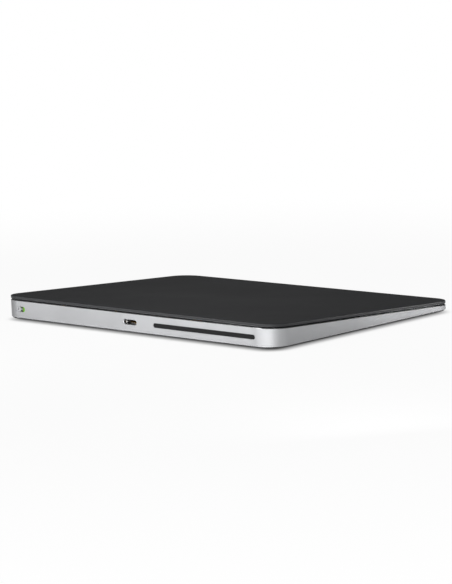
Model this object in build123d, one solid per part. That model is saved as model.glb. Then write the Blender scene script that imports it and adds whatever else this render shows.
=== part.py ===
from build123d import *
import os
from math import sqrt

# A wireless trackpad: a glass plate floats on four force sensors over a machined aluminium tray.
# X runs across the pad, Y runs from its front edge to its rear edge, and Z is up.
# The origin is under the middle of the pad, on the surface that it stands on.
# Sizes are in millimetres. A level is the height of a tilted surface at the middle of the depth.

# Whole pad
pad_width = 160.0
pad_depth = 114.9
rear_height = 10.9
front_height = 4.9
corner_radius = 9.2
least_corner_share = 0.2
overrun = 1.0
quarter_turn = 90

# Floating plate: glass, black bezel, touch board and steel stiffener
glass_thickness = 1.25
glass_edge_radius = 0.35
glass_under_chamfer = 0.15
bezel_thickness = 0.25
bezel_inset = 0.5
bezel_band = 3.0
plate_travel = 0.15
rim_clearance = 0.15
touch_board_thickness = 0.6
touch_board_clearance = 0.3
stiffener_thickness = 0.5
stiffener_side_margin = 18.5
stiffener_end_margin = 6.5
stiffener_corner = 5.0
stiffener_slot_length = 18.0
stiffener_slot_width = 5.0
stiffener_slot_count = 4
stiffener_slot_end_margin = 8.0
stiffener_slot_row_margin = 25.45
controller_size = 9.0
controller_thickness = 0.8
controller_side_margin = 42.0
controller_row_offset = 14.0
controller_window_margin = 1.0

# Aluminium tray
wall = 1.4
floor_thickness = 0.75
foot_stand = 1.0
underside_chamfer = 0.6
rim_chamfer = 0.22
cove_radius = 0.6
rib_height = 0.6
rib_width = 1.0
rib_count = 5
rib_pitch = 17.0
rib_length = 26.0
rib_front_margin = 9.0
boss_radius = 1.9

# Rubber feet
foot_radius = 4.6
foot_seat = 0.35
foot_clearance = 0.1
foot_edge = 0.3
foot_side_margin = 10.5
foot_end_margin = 10.5

# Small screws, all of one size
screw_head_radius = 0.95
screw_head_height = 0.4
screw_shank_radius = 0.5
screw_grip = 0.5
screw_clearance = 0.06

# Force sensors: a slit steel beam on a boss carries the plate on a gel pad
beam_length = 18.0
beam_width = 8.0
beam_thickness = 0.4
beam_corner = 1.5
beam_screw_margin = 2.7
beam_screw_spread = 2.2
beam_pad_margin = 3.4
beam_slit_length = 7.0
beam_slit_width = 0.7
beam_slit_spread = 2.4
beam_seat_length = 5.0
sensor_side_margin = 19.0
sensor_front_margin = 13.5
sensor_rear_margin = 19.5
gel_radius = 3.0
gel_thickness = 0.65
gauge_length = 4.0
gauge_width = 2.4
gauge_thickness = 0.1

# Openings in the rear wall
rear_line = 5.38
window_line = 5.25
socket_mouth_length = 7.5
socket_mouth_height = 1.9
socket_mouth_flare = 0.2
window_height = 1.95
window_end_margin = 9.9
window_inner_x = 13.7
window_clearance = 0.03
window_recess = 0.05
window_flange_margin = 0.7
window_flange_thickness = 0.7

# Charging socket
shell_length = 8.4
shell_height = 3.3
shell_depth = 8.6
shell_wall = 0.6
shell_gap = 0.1
shell_foot_length = 1.6
shell_foot_height = 0.4
shell_mouth_chamfer = 0.2
spring_width = 0.9
spring_bow = 0.5
spring_bend = 0.4
spring_front_inset = 0.8
spring_run = 1.5
insulator_depth = 2.2
insulator_clearance = 0.04
tongue_height = 0.35
contact_count = 8
contact_pitch = 0.68
contact_width = 0.36
contact_height = 0.18
contact_length = 4.6
contact_bump = 0.22

# Circuit boards and what they carry
board_thickness = 0.8
board_corner = 1.0
board_stand = 0.9
board_depth = 15.0
board_rear_margin = 5.95
board_gap = 3.0
main_board_side_margin = 20.0
power_board_side_margin = 22.0
power_arm_length = 12.4
power_arm_depth = 7.4
power_tongue_length = 10.5
power_tongue_depth = 7.0
board_screw_margin = 2.6
socket_board_length = 20.0
socket_board_depth = 9.6
socket_board_margin = 0.4
socket_screw_margin = 2.1
shield_end_margin = 4.5
shield_side_margin = 3.0
shield_height = 1.4
shield_wall = 0.2
shield_edge = 0.4
shield_back_offset = 1.2
chip_height = 0.9
chip_inset_share = 0.35
processor_back_offset = 3.0
coil_block_size = 4.2
coil_block_height = 2.0
coil_block_edge = 0.6
connector_length = 6.0
connector_depth = 2.2
connector_height = 0.8
guard_board_overhang = 0.5
guard_board_depth = 3.4
guard_board_stand = 1.9
guard_board_thickness = 0.6
guard_boss_radius = 1.5
guard_screw_margin = 4.0

# Antenna behind the rear window
antenna_board_thickness = 0.6
antenna_board_end_margin = 3.0
antenna_board_height = 3.4
coax_radius = 0.4
coax_offset = 1.5
coax_reach = 3.6
coax_run = 2.6
coax_rise = 0.7
plug_radius = 1.0
plug_height = 0.9

# Battery: two flat pouch cells
cell_side_margin = 9.5
cell_rear_gap = 7.5
cell_thickness = 2.8
cell_corner = 1.2
cell_edge = 0.7
cell_gap = 3.5
cell_front_y = -7.0
adhesive_thickness = 0.15
adhesive_width = 8.0
adhesive_end_margin = 3.0
adhesive_offset_share = 0.25
tab_width = 4.0
tab_thickness = 0.15
tab_spread = 7.0
tab_offset = 11.0

# Ribbons
ribbon_thickness = 0.15
ribbon_width = 5.0
ribbon_bend = 0.6
bridge_offset = 4.7
bridge_width = 4.0
bridge_rise = 0.5
bridge_overlap = 1.5
socket_ribbon_width = 3.0
socket_ribbon_margin = 0.2
socket_ribbon_overlap = 1.3
plate_ribbon_inset = 11.0
plate_ribbon_reach = 9.5
plate_ribbon_return = 5.5
plate_ribbon_bend = 1.5

# Haptic engine: a magnet sled runs on two rods over flat coils
engine_width = 34.0
engine_rear_gap = 10.5
engine_front_y = -8.0
engine_height = 2.6
engine_floor = 0.4
engine_wall = 0.8
engine_corner = 0.8
engine_cover = 0.3
engine_ear_length = 5.0
engine_ear_reach = 4.2
engine_ear_gap = 1.0
coil_end_margin = 5.0
coil_side_margin = 3.0
coil_band = 3.2
coil_height = 0.6
coil_corner = 3.6
coil_gap = 1.6
sled_gap = 0.15
sled_height = 1.3
sled_travel = 0.3
sled_side_gap = 0.7
bumper_thickness = 0.7
bumper_width = 6.0
bumper_height = 1.0
bumper_end_margin = 8.0
bumper_clearance = 0.1
rod_radius = 0.35
rod_clearance = 0.05
rod_fit = 0.02
rod_margin = 3.4
magnet_count = 4
magnet_gap = 1.6
magnet_side_margin = 2.7
magnet_end_margin = 7.0
magnet_clearance = 0.03
engine_ribbon_inset = 3.5
engine_notch_width = 7.0
engine_notch_height = 0.8

# Power switch
switch_side_margin = 11.95
switch_slot_height = 2.35
switch_wall = 0.4
switch_travel = 1.5
switch_nub_length = 2.75
switch_rib_length = 0.95
switch_nub_clearance = 0.05
switch_rib_clearance = 0.1
switch_nub_recess = 0.03
switch_rib_recess = 0.25
switch_rib_height = 0.8
switch_dimple_inset = 1.175
switch_dimple_radius = 0.28
switch_dimple_depth = 0.28
slide_thickness = 0.45
slide_height = 3.3
slide_clearance = 0.05
slide_cover = 0.25
pocket_clearance = 0.15
indicator_thickness = 0.15
indicator_margin = 0.2
indicator_clearance = 0.03
switch_body_depth = 3.2
switch_body_height = 3.4
switch_chamber_height = 2.6
switch_pin_size = 1.0
switch_pin_clearance = 0.15
wiper_thickness = 0.15
wiper_length = 3.2
wiper_width = 1.6
switch_board_thickness = 0.6
switch_board_height = 4.0
switch_ribbon_drop = 1.2

# Places that follow from the sizes above
rear_y = pad_depth / 2
side_x = pad_width / 2
slope = (rear_height - front_height) / pad_depth
glass_top = (rear_height + front_height) / 2
glass_under = glass_top - glass_thickness
bezel_under = glass_under - bezel_thickness
rim_level = bezel_under - plate_travel - rim_clearance
touch_board_under = glass_under - touch_board_thickness
stiffener_under = touch_board_under - stiffener_thickness
touch_board_inset = bezel_inset + bezel_band + touch_board_clearance
floor_top = foot_stand + floor_thickness
wall_inside_y = rear_y - wall

window_length = side_x - window_end_margin - window_inner_x
window_x = -(window_inner_x + window_length / 2)
stiffener_length = pad_width - 2 * stiffener_side_margin
stiffener_slot_span = stiffener_length - 2 * stiffener_slot_end_margin - stiffener_slot_length
stiffener_slot_pitch = stiffener_slot_span / (stiffener_slot_count - 1)
stiffener_slot_row = rear_y - stiffener_slot_row_margin
controller_x = side_x - controller_side_margin
controller_y = stiffener_slot_row - controller_row_offset
beam_screw_offset = beam_length / 2 - beam_screw_margin
beam_pad_offset = beam_length / 2 - beam_pad_margin

board_inner_x = socket_board_length / 2 + board_gap
main_board_length = side_x - main_board_side_margin - board_inner_x
main_board_x = -(board_inner_x + main_board_length / 2)
power_board_length = side_x - power_board_side_margin - board_inner_x
power_board_x = board_inner_x + power_board_length / 2
shield_length = main_board_length / 2 - shield_end_margin
shield_depth = board_depth - 2 * shield_side_margin
shield_offset = shield_length / 2
coax_x = main_board_x - coax_offset
plate_ribbon_x = -(board_inner_x + plate_ribbon_inset)
board_rear_y = rear_y - board_rear_margin
board_middle_y = board_rear_y - board_depth / 2
board_front_y = board_rear_y - board_depth
plate_ribbon_start = board_front_y - plate_ribbon_reach
plate_ribbon_turn = board_front_y + plate_ribbon_return
bridge_y = board_front_y + bridge_offset
board_under = floor_top + board_stand
board_top = board_under + board_thickness
power_tongue_left = board_inner_x + board_corner - power_tongue_length
engine_ribbon_x = power_tongue_left + engine_ribbon_inset
socket_board_top = rear_line - shell_height / 2
socket_board_under = socket_board_top - board_thickness
socket_board_rear_y = wall_inside_y - socket_board_margin
socket_screw_offset = socket_board_length / 2 - socket_screw_margin
socket_board_middle_y = socket_board_rear_y - socket_board_depth / 2
shell_mouth_y = wall_inside_y - shell_gap
shell_back_y = shell_mouth_y - shell_depth
shell_bore_radius = shell_height / 2 - shell_wall
spring_room = sqrt(shell_bore_radius**2 - (spring_width / 2)**2)
spring_foot_x = (shell_length - shell_height - ribbon_thickness) / 2 + spring_room

cell_inner_x = engine_width / 2 + cell_gap
cell_length = side_x - cell_side_margin - cell_inner_x
cell_depth = board_front_y - cell_rear_gap - cell_front_y
cell_middle_x = cell_inner_x + cell_length / 2
cell_middle_y = cell_front_y + cell_depth / 2
cell_rear_y = cell_front_y + cell_depth
cell_under = floor_top + adhesive_thickness
guard_board_y = (cell_rear_y + board_front_y) / 2
guard_board_under = floor_top + guard_board_stand
guard_board_length = 2 * (cell_middle_x + guard_board_overhang)
guard_screw_offset = guard_board_length / 2 - guard_screw_margin
tab_middle_x = cell_middle_x - tab_offset

engine_depth = board_front_y - engine_rear_gap - engine_front_y
engine_middle_y = engine_front_y + engine_depth / 2
engine_rear_y = engine_front_y + engine_depth
engine_floor_top = floor_top + engine_floor
engine_rim = floor_top + engine_height
engine_half_room = engine_width / 2 - engine_wall
engine_ear_offset = engine_ribbon_x + engine_notch_width / 2 + engine_ear_gap
coil_length = engine_depth - 2 * coil_end_margin
coil_width = engine_half_room - coil_side_margin - coil_gap / 2
coil_offset = (coil_width + coil_gap) / 2
coil_top = engine_floor_top + coil_height
sled_under = coil_top + sled_gap
sled_top = sled_under + sled_height
sled_middle_z = (sled_under + sled_top) / 2
sled_length = 2 * (engine_half_room - bumper_thickness - sled_travel - bumper_clearance)
sled_depth = engine_depth - 2 * (engine_wall + sled_side_gap)
rod_offset = sled_depth / 2 - rod_margin / 2
bumper_spread = engine_depth / 2 - bumper_end_margin
magnet_pitch = (sled_length - 2 * magnet_side_margin + magnet_gap) / magnet_count
magnet_width = magnet_pitch - magnet_gap
magnet_length = engine_depth - 2 * magnet_end_margin

switch_slot_length = (switch_nub_clearance + switch_nub_length + switch_rib_length + switch_travel
                      + switch_rib_clearance)
switch_x = side_x - switch_side_margin
switch_slot_left = switch_x - switch_slot_length / 2
switch_slot_right = switch_x + switch_slot_length / 2
switch_face_y = rear_y - switch_wall
slide_front_y = switch_face_y - slide_clearance
slide_back_y = slide_front_y - slide_thickness
switch_body_front_y = slide_back_y - slide_clearance
slide_left = switch_slot_left - slide_cover
slide_right = switch_slot_right + slide_cover + switch_travel
pocket_left = slide_left - switch_travel - pocket_clearance
pocket_right = slide_right + pocket_clearance
pocket_length = pocket_right - pocket_left
pocket_middle_x = (pocket_left + pocket_right) / 2
pocket_height = slide_height + 2 * pocket_clearance
switch_tip_x = switch_slot_right - switch_nub_clearance
switch_pin_x = switch_tip_x - switch_nub_length / 2
switch_rib_end_x = switch_tip_x - switch_nub_length - switch_rib_length
switch_body_back_y = switch_body_front_y - switch_body_depth
switch_chamber_front_y = switch_body_front_y - switch_body_depth / 2
switch_board_front_y = switch_body_back_y
switch_board_back_y = switch_board_front_y - switch_board_thickness

corners = {
    "front_left": (-1, -1),
    "front_right": (1, -1),
    "rear_left": (-1, 1),
    "rear_right": (1, 1),
}


# Helpers

def level_at(level, y):
    """Height of a tilted surface at a place along the depth."""
    return level + slope * y


def plan_outline(inset):
    """The pad's outline seen from above, drawn in by an inset."""
    radius = max(corner_radius - inset, corner_radius * least_corner_share)
    return RectangleRounded(pad_width - 2 * inset, pad_depth - 2 * inset, radius)


def tilted_layer(low, high):
    """Everything between two tilted levels, wider than the pad."""
    reach = rear_y + overrun
    drop = slope * reach
    side = Polyline(
        (-reach, low - drop),
        (reach, low + drop),
        (reach, high + drop),
        (-reach, high - drop),
        close=True,
    )
    return extrude(Plane.YZ * make_face(side.edges()), side_x + overrun, both=True)


def upright(sketch, bottom, top):
    """A sketch seen from above, raised between two heights."""
    return Pos(0, 0, bottom) * extrude(sketch, top - bottom)


def broad_faces(body):
    """The lower and the upper of a plate's two largest faces."""
    return body.faces().sort_by(SortBy.AREA)[-2:].sort_by(Axis.Z)


def tilted_plate(sketch, low, high):
    """A plate of the sketch's outline between two tilted levels."""
    return upright(sketch, 0, rear_height + overrun) & tilted_layer(low, high)


def inward(sketch, x, z, outer_y, depth):
    """A sketch that faces the rear, extruded forwards from a place on the depth."""
    return Pos(x, outer_y, z) * Rot(quarter_turn, 0, 0) * extrude(sketch, depth)


def board(length, depth, thickness, x, y, bottom):
    """A circuit board with rounded corners."""
    return upright(Pos(x, y) * RectangleRounded(length, depth, board_corner), bottom, bottom + thickness)


def disc(x, y, radius, bottom, top):
    return upright(Pos(x, y) * Circle(radius), bottom, top)


def screw(x, y, seat, clamped):
    """A pan-head screw whose head rests at the seat and whose shank passes the clamped thickness."""
    head = disc(x, y, screw_head_radius, seat, seat + screw_head_height)
    return head + disc(x, y, screw_shank_radius, seat - clamped - screw_grip, seat)


def screw_bore(x, y, top):
    """The tapped hole under a screw, open a little past its boss."""
    radius = screw_shank_radius + screw_clearance
    return disc(x, y, radius, top - screw_grip - screw_clearance, top + overrun)


def through_hole(x, y, bottom, top):
    radius = screw_shank_radius + screw_clearance
    return disc(x, y, radius, bottom - overrun, top + overrun)


def ribbon(points, bend, width, plane, place):
    """A flat ribbon whose side view follows the points, with rounded bends."""
    path = FilletPolyline(*points, radius=bend)
    side = trace(path.edges(), line_width=ribbon_thickness)
    return plane.offset(place) * extrude(side, width / 2, both=True)


# Places of what repeats

def sensor_place(side, end):
    """The middle of a force-sensor beam."""
    x = side * (side_x - sensor_side_margin)
    margin = sensor_rear_margin if end > 0 else sensor_front_margin
    return x, end * (rear_y - margin)


def beam_top_at(y):
    return level_at(stiffener_under, y) - gel_thickness


def sensor_screw_places(side, end):
    x, y = sensor_place(side, end)
    return [(x + side * beam_screw_offset, y + spread) for spread in (-beam_screw_spread, beam_screw_spread)]


def main_board_screws():
    reach = main_board_length / 2 - board_screw_margin
    rise = board_depth / 2 - board_screw_margin
    return [(main_board_x + side * reach, board_middle_y - side * rise) for side in (-1, 1)]


def power_board_screws():
    reach = power_board_length / 2 - board_screw_margin
    rise = board_depth / 2 - board_screw_margin
    return [(power_board_x + side * reach, board_middle_y + side * rise) for side in (-1, 1)]


def socket_board_screws():
    return [(side * socket_screw_offset, socket_board_middle_y) for side in (-1, 1)]


def guard_board_screws():
    return [(side * guard_screw_offset, guard_board_y) for side in (-1, 1)]


def engine_screws():
    reach = engine_ear_reach / 2
    front = [(side * engine_ear_offset, engine_front_y - reach) for side in (-1, 1)]
    rear = [(side * engine_ear_offset, engine_rear_y + reach) for side in (-1, 1)]
    return front + rear


def foot_place(side, end):
    return side * (side_x - foot_side_margin), end * (rear_y - foot_end_margin)


# Aluminium tray

def tray_blank():
    """The solid wedge, with its chamfered rim and underside."""
    block = upright(plan_outline(0), foot_stand, rear_height) & tilted_layer(-rear_height, rim_level)
    block = chamfer(broad_faces(block)[-1].edges(), rim_chamfer)
    return chamfer(broad_faces(block)[0].edges(), underside_chamfer)


def tray_cavity():
    """The milled space inside the walls, with a cove where they meet the floor."""
    space = upright(plan_outline(wall), floor_top, rear_height + overrun)
    return fillet(space.faces().sort_by(Axis.Z)[0].edges(), cove_radius)


def tray_bosses():
    """Posts and seats that stand on the floor, with the ribs of the thin front."""
    posts = []
    for x, y in main_board_screws() + power_board_screws():
        posts.append(disc(x, y, boss_radius, floor_top, board_under))
    for x, y in socket_board_screws():
        posts.append(disc(x, y, boss_radius, floor_top, socket_board_under))
    for x, y in guard_board_screws():
        posts.append(disc(x, y, guard_boss_radius, floor_top, guard_board_under))
    for side, end in corners.values():
        x, y = sensor_place(side, end)
        seat = RectangleRounded(beam_seat_length, beam_width, beam_corner)
        seat = Pos(x + side * beam_screw_offset, y) * seat
        posts.append(upright(seat, floor_top, beam_top_at(y) - beam_thickness))
    for number in range(rib_count):
        x = (number - (rib_count - 1) / 2) * rib_pitch
        y = rib_length / 2 + rib_front_margin - rear_y
        rib = Pos(x, y) * SlotOverall(rib_length, rib_width, quarter_turn)
        posts.append(upright(rib, floor_top, floor_top + rib_height))
    return posts


def tray_bores():
    """The tapped holes in the posts."""
    bores = [screw_bore(x, y, board_under) for x, y in main_board_screws() + power_board_screws()]
    bores += [screw_bore(x, y, socket_board_under) for x, y in socket_board_screws()]
    bores += [screw_bore(x, y, guard_board_under) for x, y in guard_board_screws()]
    bores += [screw_bore(x, y, floor_top) for x, y in engine_screws()]
    for side, end in corners.values():
        seat = beam_top_at(sensor_place(side, end)[1]) - beam_thickness
        bores += [screw_bore(x, y, seat) for x, y in sensor_screw_places(side, end)]
    return bores


def rear_wall_cuts():
    """The socket mouth with its flared edge, the antenna window, and the switch slot with its pocket."""
    start = rear_y + overrun
    through = wall + 2 * overrun
    mouth = SlotOverall(socket_mouth_length, socket_mouth_height)
    cuts = [inward(mouth, 0, rear_line, start, through)]
    spread = 2 * socket_mouth_flare
    flared = SlotOverall(socket_mouth_length + spread, socket_mouth_height + spread)
    flare = loft([flared, Pos(0, 0, socket_mouth_flare) * mouth])
    cuts.append(Pos(0, rear_y, rear_line) * Rot(quarter_turn, 0, 0) * flare)
    window = SlotOverall(window_length, window_height)
    cuts.append(inward(window, window_x, window_line, start, through))
    slot = SlotOverall(switch_slot_length, switch_slot_height)
    cuts.append(inward(slot, switch_x, rear_line, start, through))
    pocket = Rectangle(pocket_length, pocket_height)
    cuts.append(inward(pocket, pocket_middle_x, rear_line, switch_face_y, wall))
    return cuts


def foot_recesses():
    radius = foot_radius + foot_clearance
    return [disc(*foot_place(*corner), radius, 0, foot_stand + foot_seat) for corner in corners.values()]


def tray():
    body = tray_blank() - tray_cavity()
    for post in tray_bosses():
        body += post
    return body - tray_bores() - rear_wall_cuts() - foot_recesses()


def antenna_window():
    """A black plastic insert that fills the long slot, with a flange behind the wall."""
    fit = window_clearance
    face = SlotOverall(window_length - 2 * fit, window_height - 2 * fit)
    insert = inward(face, window_x, window_line, rear_y - window_recess, wall - window_recess)
    flange = SlotOverall(window_length + 2 * window_flange_margin, window_height + 2 * window_flange_margin)
    return insert + inward(flange, window_x, window_line, wall_inside_y, window_flange_thickness)


def foot(side, end):
    """A rubber disc pressed into the underside."""
    x, y = foot_place(side, end)
    pad = disc(x, y, foot_radius, 0, foot_stand + foot_seat)
    return chamfer(pad.faces().sort_by(Axis.Z)[0].edges(), foot_edge)


# Floating plate

def touch_glass():
    plate = tilted_plate(plan_outline(0), glass_under, glass_top)
    plate = fillet(broad_faces(plate)[-1].edges(), glass_edge_radius)
    return chamfer(broad_faces(plate)[0].edges(), glass_under_chamfer)


def bezel_frame():
    ring = plan_outline(bezel_inset) - plan_outline(bezel_inset + bezel_band)
    return tilted_plate(ring, bezel_under, glass_under)


def touch_sensor_board():
    return tilted_plate(plan_outline(touch_board_inset), touch_board_under, glass_under)


def stiffener_plate():
    """A stamped steel plate with lightening slots and windows for the chip and its ribbon."""
    outline = RectangleRounded(stiffener_length, pad_depth - 2 * stiffener_end_margin, stiffener_corner)
    for row in (-1, 1):
        for number in range(stiffener_slot_count):
            x = (number - (stiffener_slot_count - 1) / 2) * stiffener_slot_pitch
            hole = SlotOverall(stiffener_slot_length, stiffener_slot_width)
            outline -= Pos(x, row * stiffener_slot_row) * hole
    window = controller_size + 2 * controller_window_margin
    outline -= Pos(controller_x, controller_y) * RectangleRounded(window, window, board_corner)
    return tilted_plate(outline, stiffener_under, touch_board_under)


def touch_controller():
    outline = Pos(controller_x, controller_y) * Rectangle(controller_size, controller_size)
    return tilted_plate(outline, touch_board_under - controller_thickness, touch_board_under)


def touch_ribbon():
    """The ribbon from under the plate, turned back down to the main board."""
    start = level_at(stiffener_under, plate_ribbon_start) - ribbon_thickness
    turn = level_at(stiffener_under, plate_ribbon_turn) - ribbon_thickness
    foot_z = board_top + connector_height + ribbon_thickness / 2
    points = [
        (plate_ribbon_start, start),
        (plate_ribbon_turn, turn),
        (plate_ribbon_turn, foot_z),
        (board_front_y + connector_depth, foot_z),
    ]
    return ribbon(points, plate_ribbon_bend, ribbon_width, Plane.YZ, plate_ribbon_x)


# Force sensors

def force_beam(side, end):
    """A spring-steel beam, fixed outboard by two screws and thinned by two slits."""
    x, y = sensor_place(side, end)
    top = beam_top_at(y)
    blank = RectangleRounded(beam_length, beam_width, beam_corner)
    for row in (-1, 1):
        blank -= Pos(0, row * beam_slit_spread) * SlotOverall(beam_slit_length, beam_slit_width)
    beam = upright(Pos(x, y) * blank, top - beam_thickness, top)
    for px, py in sensor_screw_places(side, end):
        beam -= through_hole(px, py, top - beam_thickness, top)
    return beam


def gel_pad(side, end):
    """A soft disc between the beam's free end and the plate, cut to the plate's tilt."""
    x, y = sensor_place(side, end)
    pad = disc(x - side * beam_pad_offset, y, gel_radius, beam_top_at(y), rear_height)
    return pad & tilted_layer(-rear_height, stiffener_under)


def strain_gauges():
    gauges = []
    for side, end in corners.values():
        x, y = sensor_place(side, end)
        top = beam_top_at(y)
        gauges.append(upright(Pos(x, y) * Rectangle(gauge_length, gauge_width), top, top + gauge_thickness))
    return Compound(gauges)


def sensor_screws():
    screws = []
    for side, end in corners.values():
        y = sensor_place(side, end)[1]
        screws += [screw(px, py, beam_top_at(y), beam_thickness) for px, py in sensor_screw_places(side, end)]
    return Compound(screws)


# Charging socket

def socket_shell():
    """A rounded steel tube with two feet on its board."""
    tube = inward(SlotOverall(shell_length, shell_height), 0, rear_line, shell_mouth_y, shell_depth)
    cavity = SlotOverall(shell_length - 2 * shell_wall, shell_height - 2 * shell_wall)
    tube -= inward(cavity, 0, rear_line, shell_mouth_y + overrun, shell_depth + 2 * overrun)
    for side in (-1, 1):
        x = side * (shell_length - shell_height + shell_foot_length) / 2
        foot_z = socket_board_top + shell_foot_height / 2
        tube += inward(Rectangle(shell_foot_length, shell_foot_height), x, foot_z,
                       shell_mouth_y - shell_wall, shell_foot_length)
    rim = tube.faces().sort_by(Axis.Y)[-1].inner_wires()[0]
    return chamfer(rim.edges(), shell_mouth_chamfer)


def socket_springs():
    """Two bowed leaves beside the tongue, which grip a plug."""
    front = shell_mouth_y - spring_front_inset
    leaves = []
    for side in (-1, 1):
        points = [
            (side * spring_foot_x, front),
            (side * (spring_foot_x - spring_bow), front - spring_run),
            (side * spring_foot_x, front - 2 * spring_run),
        ]
        leaves.append(ribbon(points, spring_bend, spring_width, Plane.XY, rear_line))
    return Compound(leaves)


def socket_insulator():
    """The black block at the back of the shell, with the tongue that carries the contacts."""
    inner_length = shell_length - 2 * shell_wall - 2 * insulator_clearance
    inner_height = shell_height - 2 * shell_wall - 2 * insulator_clearance
    block = inward(SlotOverall(inner_length, inner_height), 0, rear_line, shell_back_y + insulator_depth,
                   insulator_depth)
    tongue_z = rear_line - inner_height / 2 + tongue_height / 2
    tongue_depth = contact_length + shell_wall
    tongue = inward(Rectangle(inner_length - inner_height, tongue_height), 0, tongue_z,
                    shell_back_y + insulator_depth + tongue_depth, tongue_depth)
    return block + tongue


def socket_contacts():
    """Eight gilt leaves on the tongue, each with a raised tip."""
    bottom = rear_line - shell_height / 2 + shell_wall + insulator_clearance + tongue_height
    back = shell_back_y + insulator_depth
    leaves = []
    for number in range(contact_count):
        x = (number - (contact_count - 1) / 2) * contact_pitch
        side = Polyline(
            (back, bottom),
            (back + contact_length, bottom),
            (back + contact_length, bottom + contact_height),
            (back + contact_length - contact_width, bottom + contact_height + contact_bump),
            (back + contact_length - 2 * contact_width, bottom + contact_height),
            (back, bottom + contact_height),
            close=True,
        )
        leaves.append(Plane.YZ.offset(x) * extrude(make_face(side.edges()), contact_width / 2, both=True))
    return Compound(leaves)


def socket_board():
    plate = board(socket_board_length, socket_board_depth, board_thickness, 0, socket_board_middle_y,
                  socket_board_under)
    for x, y in socket_board_screws():
        plate -= through_hole(x, y, socket_board_under, socket_board_top)
    return plate


def socket_ribbon():
    """The ribbon that steps down from the socket's board to the main board."""
    half = ribbon_thickness / 2
    start = -shell_length / 2 - shell_foot_length / 2
    edge = -board_inner_x
    step = (edge - socket_board_length / 2) / 2
    points = [
        (start, socket_board_top + half),
        (step, socket_board_top + half),
        (edge, board_top + half),
        (edge - socket_ribbon_overlap, board_top + half),
    ]
    y = socket_board_middle_y - (socket_board_depth - socket_ribbon_width) / 2 + socket_ribbon_margin
    return ribbon(points, ribbon_bend, socket_ribbon_width, Plane.XZ, -y)


# Circuit boards

def main_board():
    plate = board(main_board_length, board_depth, board_thickness, main_board_x, board_middle_y,
                  board_under)
    for x, y in main_board_screws():
        plate -= through_hole(x, y, board_under, board_top)
    return plate


def power_board():
    """The charging board, with an arm under the power switch and a tongue towards the haptic engine."""
    plate = board(power_board_length, board_depth, board_thickness, power_board_x, board_middle_y,
                  board_under)
    arm_x = power_board_x + power_board_length / 2 + power_arm_length / 2 - board_corner
    arm_y = board_rear_y - power_arm_depth / 2
    plate += board(power_arm_length, power_arm_depth, board_thickness, arm_x, arm_y, board_under)
    tongue_x = power_tongue_left + power_tongue_length / 2
    tongue_y = board_front_y + power_tongue_depth / 2
    plate += board(power_tongue_length, power_tongue_depth, board_thickness, tongue_x, tongue_y, board_under)
    for x, y in power_board_screws():
        plate -= through_hole(x, y, board_under, board_top)
    return plate


def radio_shield():
    """A thin steel can, open underneath, over the radio."""
    x = main_board_x - shield_offset
    y = board_middle_y - shield_back_offset
    can = upright(Pos(x, y) * RectangleRounded(shield_length, shield_depth, board_corner), board_top,
                  board_top + shield_height)
    can = chamfer(can.faces().sort_by(Axis.Z)[-1].edges(), shield_edge)
    inside = RectangleRounded(
        shield_length - 2 * shield_wall, shield_depth - 2 * shield_wall, board_corner - shield_wall)
    return can - upright(Pos(x, y) * inside, board_top, board_top + shield_height - shield_wall)


def chip(x, y, length, depth):
    return upright(Pos(x, y) * Rectangle(length, depth), board_top, board_top + chip_height)


def main_chips():
    """The radio under the shield, and the processor beside it."""
    size = shield_depth * (1 - chip_inset_share)
    radio = chip(main_board_x - shield_offset, board_middle_y - shield_back_offset, size, size)
    processor = chip(main_board_x + shield_offset, board_middle_y + processor_back_offset, shield_depth, size)
    return Compound([radio, processor])


def power_parts():
    """Two wound inductors and the charging chip."""
    parts = []
    for place in (-1, 0):
        x = power_board_x + place * 2 * coil_block_size
        outline = RectangleRounded(coil_block_size, coil_block_size, coil_block_edge)
        block = upright(Pos(x, board_middle_y) * outline, board_top, board_top + coil_block_height)
        parts.append(chamfer(block.faces().sort_by(Axis.Z)[-1].edges(), coil_block_edge / 2))
    parts.append(chip(power_board_x + 2 * coil_block_size, board_middle_y, coil_block_size, coil_block_size))
    return Compound(parts)


def board_connectors():
    """The low sockets that take the plate's ribbon and the haptic ribbon."""
    y = board_front_y + connector_depth / 2
    sockets = []
    for x in (plate_ribbon_x, engine_ribbon_x):
        outline = Pos(x, y) * Rectangle(connector_length, connector_depth)
        sockets.append(upright(outline, board_top, board_top + connector_height))
    return Compound(sockets)


def bridge_ribbon():
    """The ribbon that joins the two boards in front of the socket."""
    half = ribbon_thickness / 2
    left = -board_inner_x
    right = power_tongue_left
    points = [
        (left - bridge_overlap, board_top + half),
        (left, board_top + half),
        (left + bridge_overlap, board_top + half + bridge_rise),
        (right - bridge_overlap, board_top + half + bridge_rise),
        (right, board_top + half),
        (right + bridge_overlap, board_top + half),
    ]
    return ribbon(points, ribbon_bend, bridge_width, Plane.XZ, -bridge_y)


def guard_board():
    """The narrow board that joins the two cells and guards them."""
    plate = board(guard_board_length, guard_board_depth, guard_board_thickness, 0, guard_board_y,
                  guard_board_under)
    for x, y in guard_board_screws():
        plate -= through_hole(x, y, guard_board_under, guard_board_under + guard_board_thickness)
    return plate


def board_screws():
    screws = [screw(x, y, board_top, board_thickness) for x, y in main_board_screws() + power_board_screws()]
    screws += [screw(x, y, socket_board_top, board_thickness) for x, y in socket_board_screws()]
    seat = guard_board_under + guard_board_thickness
    screws += [screw(x, y, seat, guard_board_thickness) for x, y in guard_board_screws()]
    return Compound(screws)


# Antenna

def antenna_board():
    """A thin upright board bonded to the back of the window."""
    outline = Rectangle(window_length - 2 * antenna_board_end_margin, antenna_board_height)
    front = wall_inside_y - window_flange_thickness
    return inward(outline, window_x, window_line, front, antenna_board_thickness)


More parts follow.
